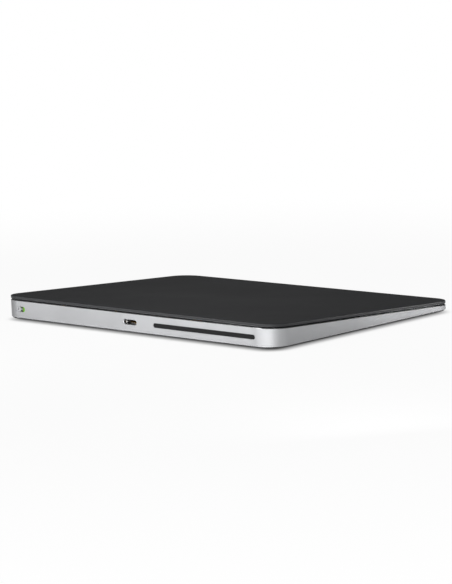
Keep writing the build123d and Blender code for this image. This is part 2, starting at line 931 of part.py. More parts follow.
def antenna_cable():
    """A fine coaxial lead that drops from the antenna to a plug on the main board."""
    start_y = wall_inside_y - window_flange_thickness - antenna_board_thickness
    plug_y = start_y - coax_reach - coax_run
    plug_z = board_top + coax_rise
    path = FilletPolyline(
        (coax_x, start_y, window_line),
        (coax_x, start_y - coax_reach / 2, window_line),
        (coax_x, start_y - coax_reach, plug_z),
        (coax_x, plug_y, plug_z),
        radius=coax_rise,
    )
    start = Plane(origin=(coax_x, start_y, window_line), z_dir=(0, -1, 0))
    lead = sweep(start * Circle(coax_radius), path=path)
    return lead + disc(coax_x, plug_y, plug_radius, board_top, board_top + plug_height + coax_radius)


# Battery

def battery_cell(side):
    """A flat pouch cell with soft edges."""
    sketch = Pos(side * cell_middle_x, cell_middle_y) * RectangleRounded(cell_length, cell_depth, cell_corner)
    cell = upright(sketch, cell_under, cell_under + cell_thickness)
    return fillet(cell.faces().sort_by(Axis.Z)[-1].edges(), cell_edge)


def battery_adhesive():
    """Two stretch-release strips under each cell."""
    strips = []
    for side in (-1, 1):
        for place in (-1, 1):
            x = side * cell_middle_x + place * cell_length * adhesive_offset_share
            outline = Pos(x, cell_middle_y) * Rectangle(adhesive_width, cell_depth - 2 * adhesive_end_margin)
            strips.append(upright(outline, floor_top, cell_under))
    return Compound(strips)


def battery_tabs():
    """Nickel strips from each cell to the underside of the guard board."""
    tabs = []
    reach = guard_board_y - cell_rear_y
    for side in (-1, 1):
        for place in (-1, 1):
            x = side * tab_middle_x + place * tab_spread / 2
            outline = Pos(x, cell_rear_y + reach / 2) * Rectangle(tab_width, reach)
            tabs.append(upright(outline, guard_board_under - tab_thickness, guard_board_under))
    return Compound(tabs)


# Haptic engine

def engine_frame():
    """A shallow steel tray with four screw ears, rod holes and a notch for its ribbon."""
    outline = Pos(0, engine_middle_y) * RectangleRounded(engine_width, engine_depth, engine_corner)
    room = Pos(0, engine_middle_y) * Rectangle(engine_width - 2 * engine_wall, engine_depth - 2 * engine_wall)
    frame = upright(outline, floor_top, engine_rim) - upright(room, engine_floor_top, engine_rim + overrun)
    for x, y in engine_screws():
        inboard = 1 if y < engine_middle_y else -1
        ear = Pos(x, y + inboard * engine_corner / 2) * RectangleRounded(
            engine_ear_length, engine_ear_reach + engine_corner, engine_corner)
        frame += upright(ear, floor_top, engine_floor_top) - upright(room, floor_top, engine_rim)
    for x, y in engine_screws():
        frame -= through_hole(x, y, floor_top, engine_floor_top)
    for end in (-1, 1):
        hole = Cylinder(rod_radius + rod_fit, engine_width + overrun, rotation=(0, quarter_turn, 0))
        frame -= Pos(0, engine_middle_y + end * rod_offset, sled_middle_z) * hole
    notch = Pos(engine_ribbon_x, engine_rear_y) * Rectangle(engine_notch_width, 2 * engine_wall + overrun)
    return frame - upright(notch, engine_floor_top, engine_floor_top + engine_notch_height)


def engine_cover_plate():
    outline = Pos(0, engine_middle_y) * RectangleRounded(engine_width, engine_depth, engine_corner)
    return upright(outline, engine_rim, engine_rim + engine_cover)


def engine_rods():
    rods = []
    for end in (-1, 1):
        rod = Cylinder(rod_radius, engine_width, rotation=(0, quarter_turn, 0))
        rods.append(Pos(0, engine_middle_y + end * rod_offset, sled_middle_z) * rod)
    return Compound(rods)


def engine_coils():
    """Two flat wound coils on the tray's floor."""
    coils = []
    for side in (-1, 1):
        outer = RectangleRounded(coil_width, coil_length, coil_corner)
        room = 2 * coil_band
        inner = RectangleRounded(coil_width - room, coil_length - room, coil_corner - coil_band)
        loop = Pos(side * coil_offset, engine_middle_y) * (outer - inner)
        coils.append(upright(loop, engine_floor_top, coil_top))
    return Compound(coils)


def magnet_outline(number, clearance):
    x = (number - (magnet_count - 1) / 2) * magnet_pitch
    return Pos(x, engine_middle_y) * Rectangle(magnet_width + 2 * clearance, magnet_length + 2 * clearance)


def magnet_sled():
    """The moving mass, with a bore for each rod and a window for each magnet."""
    outline = Pos(0, engine_middle_y) * RectangleRounded(sled_length, sled_depth, engine_corner)
    for number in range(magnet_count):
        outline -= magnet_outline(number, magnet_clearance)
    sled = upright(outline, sled_under, sled_top)
    for end in (-1, 1):
        bore = Cylinder(rod_radius + rod_clearance, sled_length + overrun, rotation=(0, quarter_turn, 0))
        sled -= Pos(0, engine_middle_y + end * rod_offset, sled_middle_z) * bore
    return sled


def sled_magnets():
    outlines = [magnet_outline(number, 0) for number in range(magnet_count)]
    return Compound([upright(outline, sled_under, sled_top) for outline in outlines])


def sled_bumpers():
    """Rubber stops on the tray's side walls."""
    stops = []
    for side in (-1, 1):
        for end in (-1, 1):
            x = side * (engine_half_room - bumper_thickness / 2)
            y = engine_middle_y + end * bumper_spread
            outline = Pos(x, y) * Rectangle(bumper_thickness, bumper_width)
            low = sled_middle_z - bumper_height / 2
            stops.append(upright(outline, low, low + bumper_height))
    return Compound(stops)


def engine_ribbon():
    """The ribbon from the coils, through the notch and up to its connector."""
    low = engine_floor_top + ribbon_thickness / 2
    high = board_top + connector_height + ribbon_thickness / 2
    edge = board_front_y - connector_depth / 2
    points = [
        (engine_rear_y - engine_wall, low),
        (edge - connector_depth / 2, low),
        (edge, high),
        (board_front_y + connector_depth, high),
    ]
    return ribbon(points, ribbon_bend, ribbon_width, Plane.YZ, engine_ribbon_x)


def engine_screw_set():
    return Compound([screw(x, y, engine_floor_top, engine_floor) for x, y in engine_screws()])


# Power switch

def switch_body():
    """The plastic block behind the wall, slotted for the slide's pin."""
    block = Rectangle(pocket_length - 2 * slide_clearance, switch_body_height)
    body = inward(block, pocket_middle_x, rear_line, switch_body_front_y, switch_body_depth)
    pin_room = switch_pin_size + switch_travel + 2 * switch_pin_clearance
    slot = Rectangle(pin_room, switch_pin_size + 2 * switch_pin_clearance)
    body -= inward(slot, switch_pin_x - switch_travel / 2, rear_line, switch_body_front_y + overrun,
                   switch_body_depth + 2 * overrun)
    chamber = Rectangle(wiper_length + switch_travel + 2 * switch_pin_clearance, switch_chamber_height)
    return body - inward(chamber, switch_pin_x - switch_travel / 2, rear_line, switch_chamber_front_y,
                         switch_body_depth)


def indicator_outline(clearance):
    """The coloured patch shows between the slot's end and the rib."""
    left = slide_left + indicator_margin
    length = switch_rib_end_x - left
    height = switch_slot_height + 2 * indicator_margin
    outline = Rectangle(length - 2 * clearance, height - 2 * clearance)
    return Pos(left + length / 2, 0) * outline


def switch_indicator():
    return inward(indicator_outline(indicator_clearance), 0, rear_line, slide_front_y, indicator_thickness)


def power_slide():
    """The plastic slide behind the wall, with a seat for its patch and a pin that carries the wiper."""
    middle = (slide_left + slide_right) / 2
    plate = inward(Rectangle(slide_right - slide_left, slide_height), middle, rear_line, slide_front_y,
                   slide_thickness)
    plate -= inward(indicator_outline(0), 0, rear_line, slide_front_y + overrun,
                    indicator_thickness + overrun)
    pin_outline = Rectangle(switch_pin_size, switch_pin_size)
    pin_depth = slide_back_y - switch_chamber_front_y
    return plate + inward(pin_outline, switch_pin_x, rear_line, slide_back_y, pin_depth)


def slide_cap():
    """The aluminium cap on the slide: a round-ended nub with a dimple, and a low rib towards the patch."""
    height = switch_slot_height - 2 * switch_nub_clearance
    nub_y = rear_y - switch_nub_recess
    nub = inward(SlotOverall(switch_nub_length, height), switch_pin_x, rear_line, nub_y,
                 nub_y - slide_front_y)
    rib_y = rear_y - switch_rib_recess
    rib_outline = Rectangle(switch_pin_x - switch_rib_end_x, switch_rib_height)
    rib = inward(rib_outline, (switch_pin_x + switch_rib_end_x) / 2, rear_line, rib_y,
                 rib_y - slide_front_y)
    dimple = inward(Circle(switch_dimple_radius), switch_tip_x - switch_dimple_inset, rear_line, rear_y,
                    switch_nub_recess + switch_dimple_depth)
    return nub + rib - dimple


def switch_wiper():
    """A brass strip on the end of the pin."""
    return inward(Rectangle(wiper_length, wiper_width), switch_pin_x, rear_line, switch_chamber_front_y,
                  wiper_thickness)


def switch_board():
    return inward(Rectangle(pocket_length, switch_board_height), pocket_middle_x, rear_line,
                  switch_board_front_y, switch_board_thickness)


def switch_ribbon():
    """The ribbon from the switch's board down to the arm of the power board."""
    half = ribbon_thickness / 2
    back = switch_board_back_y - half
    points = [
        (back, rear_line),
        (back, board_top + switch_ribbon_drop / 2),
        (back - switch_ribbon_drop, board_top + half),
        (back - 2 * switch_ribbon_drop, board_top + half),
    ]
    return ribbon(points, ribbon_bend, socket_ribbon_width, Plane.YZ, pocket_middle_x)


# Write each piece to its own file

pieces = {
    "tray": tray(),
    "antenna_window": antenna_window(),
    "touch_glass": touch_glass(),
    "bezel_frame": bezel_frame(),
    "touch_sensor_board": touch_sensor_board(),
    "stiffener_plate": stiffener_plate(),
    "touch_controller": touch_controller(),
    "touch_ribbon": touch_ribbon(),
    "strain_gauges": strain_gauges(),
    "sensor_screws": sensor_screws(),
    "socket_shell": socket_shell(),
    "socket_springs": socket_springs(),
    "socket_insulator": socket_insulator(),
    "socket_contacts": socket_contacts(),
    "socket_board": socket_board(),
    "socket_ribbon": socket_ribbon(),
    "main_board": main_board(),
    "power_board": power_board(),
    "radio_shield": radio_shield(),
    "main_chips": main_chips(),
    "power_parts": power_parts(),
    "board_connectors": board_connectors(),
    "bridge_ribbon": bridge_ribbon(),
    "battery_guard_board": guard_board(),
    "board_screws": board_screws(),
    "antenna_board": antenna_board(),
    "antenna_cable": antenna_cable(),
    "battery_cell_left": battery_cell(-1),
    "battery_cell_right": battery_cell(1),
    "battery_adhesive": battery_adhesive(),
    "battery_tabs": battery_tabs(),
    "haptic_frame": engine_frame(),
    "haptic_cover": engine_cover_plate(),
    "haptic_rods": engine_rods(),
    "haptic_coils": engine_coils(),
    "haptic_sled": magnet_sled(),
    "haptic_magnets": sled_magnets(),
    "haptic_bumpers": sled_bumpers(),
    "haptic_ribbon": engine_ribbon(),
    "haptic_screws": engine_screw_set(),
    "switch_body": switch_body(),
    "switch_indicator": switch_indicator(),
    "power_slide": power_slide(),
    "slide_cap": slide_cap(),
    "switch_wiper": switch_wiper(),
    "switch_board": switch_board(),
    "switch_ribbon": switch_ribbon(),
}
for corner, (side, end) in corners.items():
    pieces["foot_" + corner] = foot(side, end)
    pieces["force_beam_" + corner] = force_beam(side, end)
    pieces["gel_pad_" + corner] = gel_pad(side, end)

os.makedirs("parts", exist_ok=True)
for name, piece in pieces.items():
    export_step(piece, "parts/" + name + ".step")
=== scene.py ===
import math

import bmesh
import bpy
from mathutils import Matrix, Vector


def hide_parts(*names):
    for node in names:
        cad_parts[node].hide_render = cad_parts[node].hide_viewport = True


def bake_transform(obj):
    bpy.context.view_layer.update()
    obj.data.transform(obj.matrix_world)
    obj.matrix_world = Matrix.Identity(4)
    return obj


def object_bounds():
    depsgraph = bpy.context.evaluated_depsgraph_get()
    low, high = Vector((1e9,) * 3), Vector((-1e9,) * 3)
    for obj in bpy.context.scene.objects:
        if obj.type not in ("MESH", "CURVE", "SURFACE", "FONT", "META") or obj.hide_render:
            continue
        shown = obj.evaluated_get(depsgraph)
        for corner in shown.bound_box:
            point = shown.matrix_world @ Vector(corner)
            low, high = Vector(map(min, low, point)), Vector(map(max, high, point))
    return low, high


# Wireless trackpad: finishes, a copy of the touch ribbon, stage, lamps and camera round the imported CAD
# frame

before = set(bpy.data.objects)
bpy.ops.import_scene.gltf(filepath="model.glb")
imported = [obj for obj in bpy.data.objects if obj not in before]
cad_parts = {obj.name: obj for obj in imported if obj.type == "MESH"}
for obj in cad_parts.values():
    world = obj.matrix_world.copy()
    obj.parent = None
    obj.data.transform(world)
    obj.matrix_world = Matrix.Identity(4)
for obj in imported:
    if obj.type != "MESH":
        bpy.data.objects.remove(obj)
cadLow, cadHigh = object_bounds()
mm = 0.001
print("stage: frame loaded,", len(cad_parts), "nodes")

# the wedge rises from 4.9 mm at the front to 10.9 mm at the rear, and levels are heights at its middle depth
pad = {"riseMm": 6.0, "depthMm": 114.9, "cornerMm": 9.2, "rimLevelMm": 6.1, "rimChamferMm": 0.22,
       "glassTopMm": 7.9, "glassEdgeMm": 0.35}

# roughness turns between the low and the high share of the patch noise, and the grain shades the colour by
# grainTone where a finish names no share of its own
drift = {"low": 0.3, "high": 0.7, "patchDetail": 3.0, "grainDetail": 2.0, "grainTone": 0.06}


def linearColour(hexCode):  # sRGB hex to the linear values that sockets take
    values = [int(hexCode[place:place + 2], 16) / 255 for place in (1, 3, 5)]
    curved = [v / 12.92 if v <= 0.04045 else ((v + 0.055) / 1.055) ** 2.4 for v in values]
    return curved + [1.0]


def addNode(tree, kind, settings=None, inputs=None):  # an input is a value or another node's output
    node = tree.nodes.new(kind)
    for name, value in (settings or {}).items():
        setattr(node, name, value)
    for name, value in (inputs or {}).items():
        if isinstance(value, bpy.types.NodeSocket):
            tree.links.new(value, node.inputs[name])
        else:
            node.inputs[name].default_value = value
    return node


def startMaterial(name, look):
    material = bpy.data.materials.new(name)
    material.use_nodes = True
    tree = material.node_tree
    shader = tree.nodes["Principled BSDF"]
    shader.inputs["Base Color"].default_value = linearColour(look["colour"])
    shader.inputs["Roughness"].default_value = look["roughness"]
    shader.inputs["Metallic"].default_value = look.get("metallic", 0.0)
    if "ior" in look:
        shader.inputs["IOR"].default_value = look["ior"]
    if "specular" in look:
        shader.inputs["Specular IOR Level"].default_value = look["specular"]
    material.diffuse_color = linearColour(look["colour"])
    place = addNode(tree, "ShaderNodeTexCoord").outputs["Object"]
    return material, tree, shader, place


def finishSurface(tree, shader, place, look):
    # colour and roughness drift in soft patches, and a fine grain stands up from the surface
    patches = addNode(tree, "ShaderNodeTexNoise", None, {
        "Vector": place, "Scale": 1 / (look["patchMm"] * mm), "Detail": drift["patchDetail"]}).outputs[0]
    grain = addNode(tree, "ShaderNodeTexNoise", None, {
        "Vector": place, "Scale": 1 / (look["grainMm"] * mm), "Detail": drift["grainDetail"]}).outputs[0]
    tone = addNode(tree, "ShaderNodeMix", {"data_type": "RGBA"}, {
        "Factor": patches, "A": linearColour(look["colour"]), "B": linearColour(look["colourDrift"])})
    grainTone = look.get("grainTone", drift["grainTone"])
    speckle = addNode(tree, "ShaderNodeMath", {"operation": "MULTIPLY_ADD"}, {
        0: grain, 1: grainTone, 2: 1 - grainTone / 2}).outputs[0]
    toned = addNode(tree, "ShaderNodeVectorMath", {"operation": "SCALE"}, {
        0: tone.outputs["Result"], "Scale": speckle}).outputs[0]
    tree.links.new(toned, shader.inputs["Base Color"])
    rough = addNode(tree, "ShaderNodeMapRange", None, {
        "Value": patches, "From Min": drift["low"], "From Max": drift["high"],
        "To Min": look["roughness"] - look["roughDrift"], "To Max": look["roughness"] + look["roughDrift"]})
    tree.links.new(rough.outputs["Result"], shader.inputs["Roughness"])
    bump = addNode(tree, "ShaderNodeBump", None, {
        "Height": grain, "Strength": 1.0, "Distance": look["grainDepthMm"] * mm})
    tree.links.new(bump.outputs["Normal"], shader.inputs["Normal"])
    return {"toned": toned, "rough": rough.outputs["Result"], "bump": bump}


def plainFinish(name, look):
    material, tree, shader, place = startMaterial(name, look)
    finishSurface(tree, shader, place, look)
    return material


def heightOverPlane(tree, place, levelMm):  # a point's height over a tilted level of the pad, in metres
    axes = addNode(tree, "ShaderNodeSeparateXYZ", None, {0: place}).outputs
    plane = addNode(tree, "ShaderNodeMath", {"operation": "MULTIPLY_ADD"}, {
        0: axes["Y"], 1: pad["riseMm"] / pad["depthMm"], 2: levelMm * mm}).outputs[0]
    return addNode(tree, "ShaderNodeMath", {"operation": "SUBTRACT"}, {0: axes["Z"], 1: plane}).outputs[0]


def dress(material, *names):  # CAD nodes keep their shape and take a finish in their slots
    for name in names:
        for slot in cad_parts[name].material_slots:
            slot.material = material


def corners(prefix):
    return [prefix + "_" + corner for corner in ("front_left", "front_right", "rear_left", "rear_right")]


# Outer finishes

aluminium = {"colour": "#bfc0c2", "colourDrift": "#bbbcbe", "roughness": 0.31, "roughDrift": 0.02,
             "metallic": 1.0, "patchMm": 9.0, "grainMm": 0.28, "grainDepthMm": 0.004, "grainTone": 0.08,
             "rimHighlightColour": "#e4e5e6", "rimRoughness": 0.2, "rimFadeMm": (-0.03, 0.02)}


def blastedAluminium(look):
    # 6063 aluminium, bead-blasted and clear-anodised: soft wide reflections with a fine sparkle.
    # The grit is about 0.1 mm and is drawn 0.28 mm wide, so that it shows from a step away.
    # The rim is cut after blasting, so its chamfer is smoother, and its brighter colour is a painted
    # highlight.
    material, tree, shader, place = startMaterial("aluminiumBeadBlastedAnodised", look)
    made = finishSurface(tree, shader, place, look)
    over = heightOverPlane(tree, place, pad["rimLevelMm"] - pad["rimChamferMm"])
    fadeLow, fadeHigh = look["rimFadeMm"]
    rim = addNode(tree, "ShaderNodeMapRange", None, {
        "Value": over, "From Min": fadeLow * mm, "From Max": fadeHigh * mm}).outputs["Result"]
    # painted highlight: the rim chamfer's colour is lifted to a brighter grey
    colour = addNode(tree, "ShaderNodeMix", {"data_type": "RGBA"}, {
        "Factor": rim, "A": made["toned"], "B": linearColour(look["rimHighlightColour"])})
    rough = addNode(tree, "ShaderNodeMapRange", None, {
        "Value": rim, "To Min": made["rough"], "To Max": look["rimRoughness"]})
    tree.links.new(colour.outputs["Result"], shader.inputs["Base Color"])
    tree.links.new(rough.outputs["Result"], shader.inputs["Roughness"])
    return material


slideMetal = {"colour": "#c6c7c9", "colourDrift": "#bcbdc0", "roughness": 0.3, "roughDrift": 0.04,
              "metallic": 1.0, "patchMm": 1.5, "grainMm": 0.12, "grainDepthMm": 0.003,
              "ribPaintedShade": "#777d71", "ribEndMm": 66.9, "nubStartMm": 68.1, "nubFaceMm": 57.42,
              "dimplePaintedShade": "#85868a", "dimpleMiddleMm": 69.45, "dimpleRadiusMm": 0.3,
              "dimpleDepthMm": 0.03}


def machinedAluminium(look):
    # the switch slide's cap, milled from the same alloy and anodised without blasting: finer and glossier.
    # Its low rib is darkened and tinted green, a painted shade and a painted reflection of the green beside
    # it, and the dimple's hollow is painted grey as painted shade.
    material, tree, shader, place = startMaterial("aluminiumMilledAnodised", look)
    made = finishSurface(tree, shader, place, look)
    axes = addNode(tree, "ShaderNodeSeparateXYZ", None, {0: place}).outputs
    # painted shade and painted reflection: from the rib's end to the nub the colour turns from a dark green
    # grey to the metal's own
    nub = addNode(tree, "ShaderNodeMapRange", None, {
        "Value": axes["X"], "From Min": look["ribEndMm"] * mm, "From Max": look["nubStartMm"] * mm})
    ribShaded = addNode(tree, "ShaderNodeMix", {"data_type": "RGBA"}, {
        "Factor": nub.outputs["Result"], "A": linearColour(look["ribPaintedShade"]), "B": made["toned"]})
    # painted shade: points deeper than the dimple's rim are painted grey
    across = addNode(tree, "ShaderNodeMath", {"operation": "COMPARE"}, {
        0: axes["X"], 1: look["dimpleMiddleMm"] * mm, 2: look["dimpleRadiusMm"] * mm}).outputs[0]
    deep = addNode(tree, "ShaderNodeMath", {"operation": "LESS_THAN"}, {
        0: axes["Y"], 1: (look["nubFaceMm"] - look["dimpleDepthMm"]) * mm}).outputs[0]
    dimpleShadeMask = addNode(tree, "ShaderNodeMath", {"operation": "MULTIPLY"}, {0: across, 1: deep}).outputs[0]
    colour = addNode(tree, "ShaderNodeMix", {"data_type": "RGBA"}, {
        "Factor": dimpleShadeMask, "A": ribShaded.outputs["Result"], "B": linearColour(look["dimplePaintedShade"])})
    tree.links.new(colour.outputs["Result"], shader.inputs["Base Color"])
    return material


glass = {"colour": "#2a2b2d", "colourDrift": "#2d2e30", "roughness": 0.6, "roughDrift": 0.03, "ior": 1.5,
         "specular": 0.3, "patchMm": 45.0, "grainMm": 0.2, "grainDepthMm": 0.002, "grainTone": 0.05,
         "edgeRoughness": 0.34, "edgeFadeMm": 0.02}


def etchedGlass(look):
    # aluminosilicate glass, acid-etched on top and printed dark from behind: a dry even grey, no mirror.
    # The ground edge is finer than the etched face and catches the light.
    material, tree, shader, place = startMaterial("glassAcidEtchedBackPrinted", look)
    made = finishSurface(tree, shader, place, look)
    over = heightOverPlane(tree, place, pad["glassTopMm"])
    finer = addNode(tree, "ShaderNodeMapRange", None, {
        "Value": over, "From Min": -pad["glassEdgeMm"] * mm, "From Max": -look["edgeFadeMm"] * mm,
        "To Min": look["edgeRoughness"] - look["roughness"], "To Max": 0.0}).outputs["Result"]
    rough = addNode(tree, "ShaderNodeMath", {"operation": "ADD"}, {0: made["rough"], 1: finer}).outputs[0]
    tree.links.new(rough, shader.inputs["Roughness"])
    return material


# glass-filled polycarbonate from a spark-eroded mould: even black with a satin grain
bezelPlastic = {"colour": "#050506", "colourDrift": "#070708", "roughness": 0.6, "roughDrift": 0.05,
                "ior": 1.35, "specular": 0.04, "patchMm": 6.0, "grainMm": 0.15, "grainDepthMm": 0.003}
windowPlastic = {"colour": "#121213", "colourDrift": "#151516", "roughness": 0.5, "roughDrift": 0.04,
                 "ior": 1.4, "specular": 0.2, "patchMm": 8.0, "grainMm": 0.18, "grainDepthMm": 0.003}

footRubber = {"colour": "#bfc0c1", "colourDrift": "#b5b6b7", "roughness": 0.7, "roughDrift": 0.06,
              "ior": 1.43, "patchMm": 3.0, "grainMm": 0.25, "grainDepthMm": 0.01, "sheen": 0.15}


def mouldedSilicone(look):
    # silicone rubber pressed in a fine-blasted mould: dry, and a little dusty where it stands
    material, tree, shader, place = startMaterial("siliconeRubberPressed", look)
    finishSurface(tree, shader, place, look)
    shader.inputs["Sheen Weight"].default_value = look["sheen"]
    return material


dress(blastedAluminium(aluminium), "tray")
dress(machinedAluminium(slideMetal), "slide_cap")
dress(etchedGlass(glass), "touch_glass")
dress(plainFinish("polycarbonateBezelMoulded", bezelPlastic), "bezel_frame")
dress(plainFinish("polycarbonateWindowMoulded", windowPlastic), "antenna_window")
dress(mouldedSilicone(footRubber), *corners("foot"))
print("stage: outer finishes on")


# Small parts seen through the rear wall

# ABS with a satin paint: a clear even green
indicatorPaint = {"colour": "#69a820", "colourDrift": "#5e9c1e", "roughness": 0.38, "roughDrift": 0.04,
                  "ior": 1.5, "specular": 0.25, "patchMm": 0.8, "grainMm": 0.1, "grainDepthMm": 0.002}
# moulded acetal: waxy and dark grey for the body; the slide behind the slot is dark and tinted olive, a
# painted shade of the green indicator
switchPlastic = {"colour": "#2b2c2b", "colourDrift": "#353635", "roughness": 0.45, "roughDrift": 0.05,
                 "ior": 1.48, "patchMm": 1.5, "grainMm": 0.12, "grainDepthMm": 0.003}
slidePaintedShade = dict(switchPlastic, colour="#2c3a1c", colourDrift="#33421f")
# moulded liquid crystal polymer: near black, with a faint gloss from the steel mould
socketPlastic = {"colour": "#1c1c1d", "colourDrift": "#252526", "roughness": 0.4, "roughDrift": 0.05,
                 "ior": 1.65, "patchMm": 1.2, "grainMm": 0.12, "grainDepthMm": 0.003}
# stainless steel, deep-drawn: bright and a little streaked
socketSteel = {"colour": "#b9b8b5", "colourDrift": "#aaa9a6", "roughness": 0.24, "roughDrift": 0.05,
               "metallic": 1.0, "patchMm": 1.8, "grainMm": 0.15, "grainDepthMm": 0.002}
# gold over brass: a warm, nearly smooth shine
contactGilt = {"colour": "#d8a94a", "colourDrift": "#c99a3f", "roughness": 0.2, "roughDrift": 0.04,
               "metallic": 1.0, "patchMm": 0.8, "grainMm": 0.1, "grainDepthMm": 0.001}

dress(plainFinish("absIndicatorPainted", indicatorPaint), "switch_indicator")
dress(plainFinish("acetalSwitchMoulded", switchPlastic), "switch_body")
# the slide's olive is a painted shade of the green indicator in the slot
dress(plainFinish("acetalSlidePaintedShade", slidePaintedShade), "power_slide")
dress(plainFinish("liquidCrystalPolymerMoulded", socketPlastic), "socket_insulator")
dress(plainFinish("stainlessSocketDrawn", socketSteel), "socket_shell")
dress(plainFinish("brassContactGoldPlated", contactGilt), "socket_contacts", "switch_wiper")
print("stage: finishes behind the rear wall on")


# Inner finishes

# rows of tracks are trackPitchMm apart, and the pads are dots in cells of padCellMm
boardMask = {"colour": "#14261c", "colourDrift": "#182c20", "roughness": 0.35, "roughDrift": 0.05,
             "ior": 1.52, "patchMm": 5.0, "grainMm": 0.2, "grainDepthMm": 0.002, "trackColour": "#2c5a3c",
             "trackPitchMm": 0.9, "trackMm": 0.126, "trackOffset": 0.37, "padColour": "#caa65a",
             "padCellMm": 2.3, "padShare": 0.13, "padScatter": 0.35}
rowsPerBrick = 4  # a brick texture lays this many rows in one unit of its own


def solderMask(look):
    # FR4 with a dark green solder mask: tracks show as paler lines under it, with gilt test pads
    material, tree, shader, place = startMaterial("boardSolderMasked", look)
    finishSurface(tree, shader, place, look)
    unitMm = look["trackPitchMm"] * rowsPerBrick
    tracks = addNode(tree, "ShaderNodeTexBrick", {"offset": look["trackOffset"]}, {
        "Vector": place, "Scale": 1 / (unitMm * mm), "Mortar Size": look["trackMm"] / unitMm,
        "Color1": linearColour(look["colour"]), "Color2": linearColour(look["colourDrift"]),
        "Mortar": linearColour(look["trackColour"])})
    cells = addNode(tree, "ShaderNodeTexVoronoi", None, {
        "Vector": place, "Scale": 1 / (look["padCellMm"] * mm), "Randomness": look["padScatter"]})
    pads = addNode(tree, "ShaderNodeMath", {"operation": "LESS_THAN"}, {
        0: cells.outputs["Distance"], 1: look["padShare"]}).outputs[0]
    colour = addNode(tree, "ShaderNodeMix", {"data_type": "RGBA"}, {
        "Factor": pads, "A": tracks.outputs["Color"], "B": linearColour(look["padColour"])})
    tree.links.new(colour.outputs["Result"], shader.inputs["Base Color"])
    tree.links.new(pads, shader.inputs["Metallic"])
    return material


# bright tin over mild steel, stamped flat
tinnedSteel = {"colour": "#b4b5b6", "colourDrift": "#a3a4a6", "roughness": 0.32, "roughDrift": 0.07,
               "metallic": 1.0, "patchMm": 4.0, "grainMm": 0.3, "grainDepthMm": 0.003, "rollMm": 0.25}
# cold-rolled stainless spring strip, slightly darker
springSteel = {"colour": "#a9aaac", "colourDrift": "#96979a", "roughness": 0.28, "roughDrift": 0.05,
               "metallic": 1.0, "patchMm": 3.0, "grainMm": 0.2, "grainDepthMm": 0.002, "rollMm": 0.2}
# carbon steel, turned and oiled: dark grey with fine tool lines
screwSteel = {"colour": "#8b8c8f", "colourDrift": "#7b7c80", "roughness": 0.33, "roughDrift": 0.05,
              "metallic": 1.0, "patchMm": 0.8, "grainMm": 0.1, "grainDepthMm": 0.002, "rollMm": 0.1}
# sintered tungsten alloy: heavy-looking dull grey
sledTungsten = {"colour": "#77787b", "colourDrift": "#6a6b6e", "roughness": 0.42, "roughDrift": 0.05,
                "metallic": 1.0, "patchMm": 3.0, "grainMm": 0.2, "grainDepthMm": 0.005, "rollMm": 0.3}
# nickel-plated neodymium: the brightest metal inside
magnetNickel = {"colour": "#c4c2bd", "colourDrift": "#b6b4af", "roughness": 0.16, "roughDrift": 0.04,
                "metallic": 1.0, "patchMm": 3.0, "grainMm": 0.2, "grainDepthMm": 0.001, "rollMm": 0.4}
# rolled nickel strip, faintly warm
tabNickel = {"colour": "#c9c7c0", "colourDrift": "#bab8b1", "roughness": 0.3, "roughDrift": 0.05,
             "metallic": 1.0, "patchMm": 2.0, "grainMm": 0.15, "grainDepthMm": 0.002, "rollMm": 0.15}
rolling = {"stretch": (0.03, 1.0, 1.0), "detail": 2.0}  # the lines run long in X


def rolledMetal(name, look):
    # hair-fine lines run along X from the mill or the tool, and stretch the highlights across them
    material, tree, shader, place = startMaterial(name, look)
    made = finishSurface(tree, shader, place, look)
    drawn = addNode(tree, "ShaderNodeMapping", None, {
        "Vector": place, "Scale": rolling["stretch"]}).outputs[0]
    lines = addNode(tree, "ShaderNodeTexNoise", None, {
        "Vector": drawn, "Scale": 1 / (look["rollMm"] * mm), "Detail": rolling["detail"]}).outputs[0]
    rough = addNode(tree, "ShaderNodeMath", {"operation": "MULTIPLY_ADD"}, {
        0: lines, 1: look["roughDrift"], 2: made["rough"]}).outputs[0]
    tree.links.new(rough, shader.inputs["Roughness"])
    tree.links.new(lines, made["bump"].inputs["Height"])
    return material


# a wave texture repeats its X and Y bands after this length of its own, and diagonal ones after root 2 of it
waveTurn = math.pi / 10

ribbonFilm = {"colour": "#8a4f18", "colourDrift": "#97591d", "roughness": 0.3, "roughDrift": 0.05,
              "ior": 1.6, "patchMm": 3.0, "grainMm": 0.2, "grainDepthMm": 0.002, "trackColour": "#b9772e",
              "trackPitchMm": 1.396}


def printedFilm(look):
    # polyimide film over copper tracks: amber, glossy, with the tracks as paler stripes.
    # The tracks lie about 0.3 mm apart and are drawn wider apart, so that they show.
    material, tree, shader, place = startMaterial("polyimideFilmPrinted", look)
    made = finishSurface(tree, shader, place, look)
    stripes = addNode(tree, "ShaderNodeTexWave", {"wave_type": "BANDS", "bands_direction": "DIAGONAL"}, {
        "Vector": place, "Scale": math.sqrt(2) * waveTurn / (look["trackPitchMm"] * mm)}).outputs["Fac"]
    colour = addNode(tree, "ShaderNodeMix", {"data_type": "RGBA"}, {
        "Factor": stripes, "A": made["toned"], "B": linearColour(look["trackColour"])})
    tree.links.new(colour.outputs["Result"], shader.inputs["Base Color"])
    return material


gaugeFoil = {"colour": "#b98a4a", "colourDrift": "#a97c40", "roughness": 0.3, "roughDrift": 0.05,
             "ior": 1.6, "patchMm": 0.6, "grainMm": 0.1, "grainDepthMm": 0.001, "gridColour": "#4b4a46",
             "gridPitchMm": 0.434}


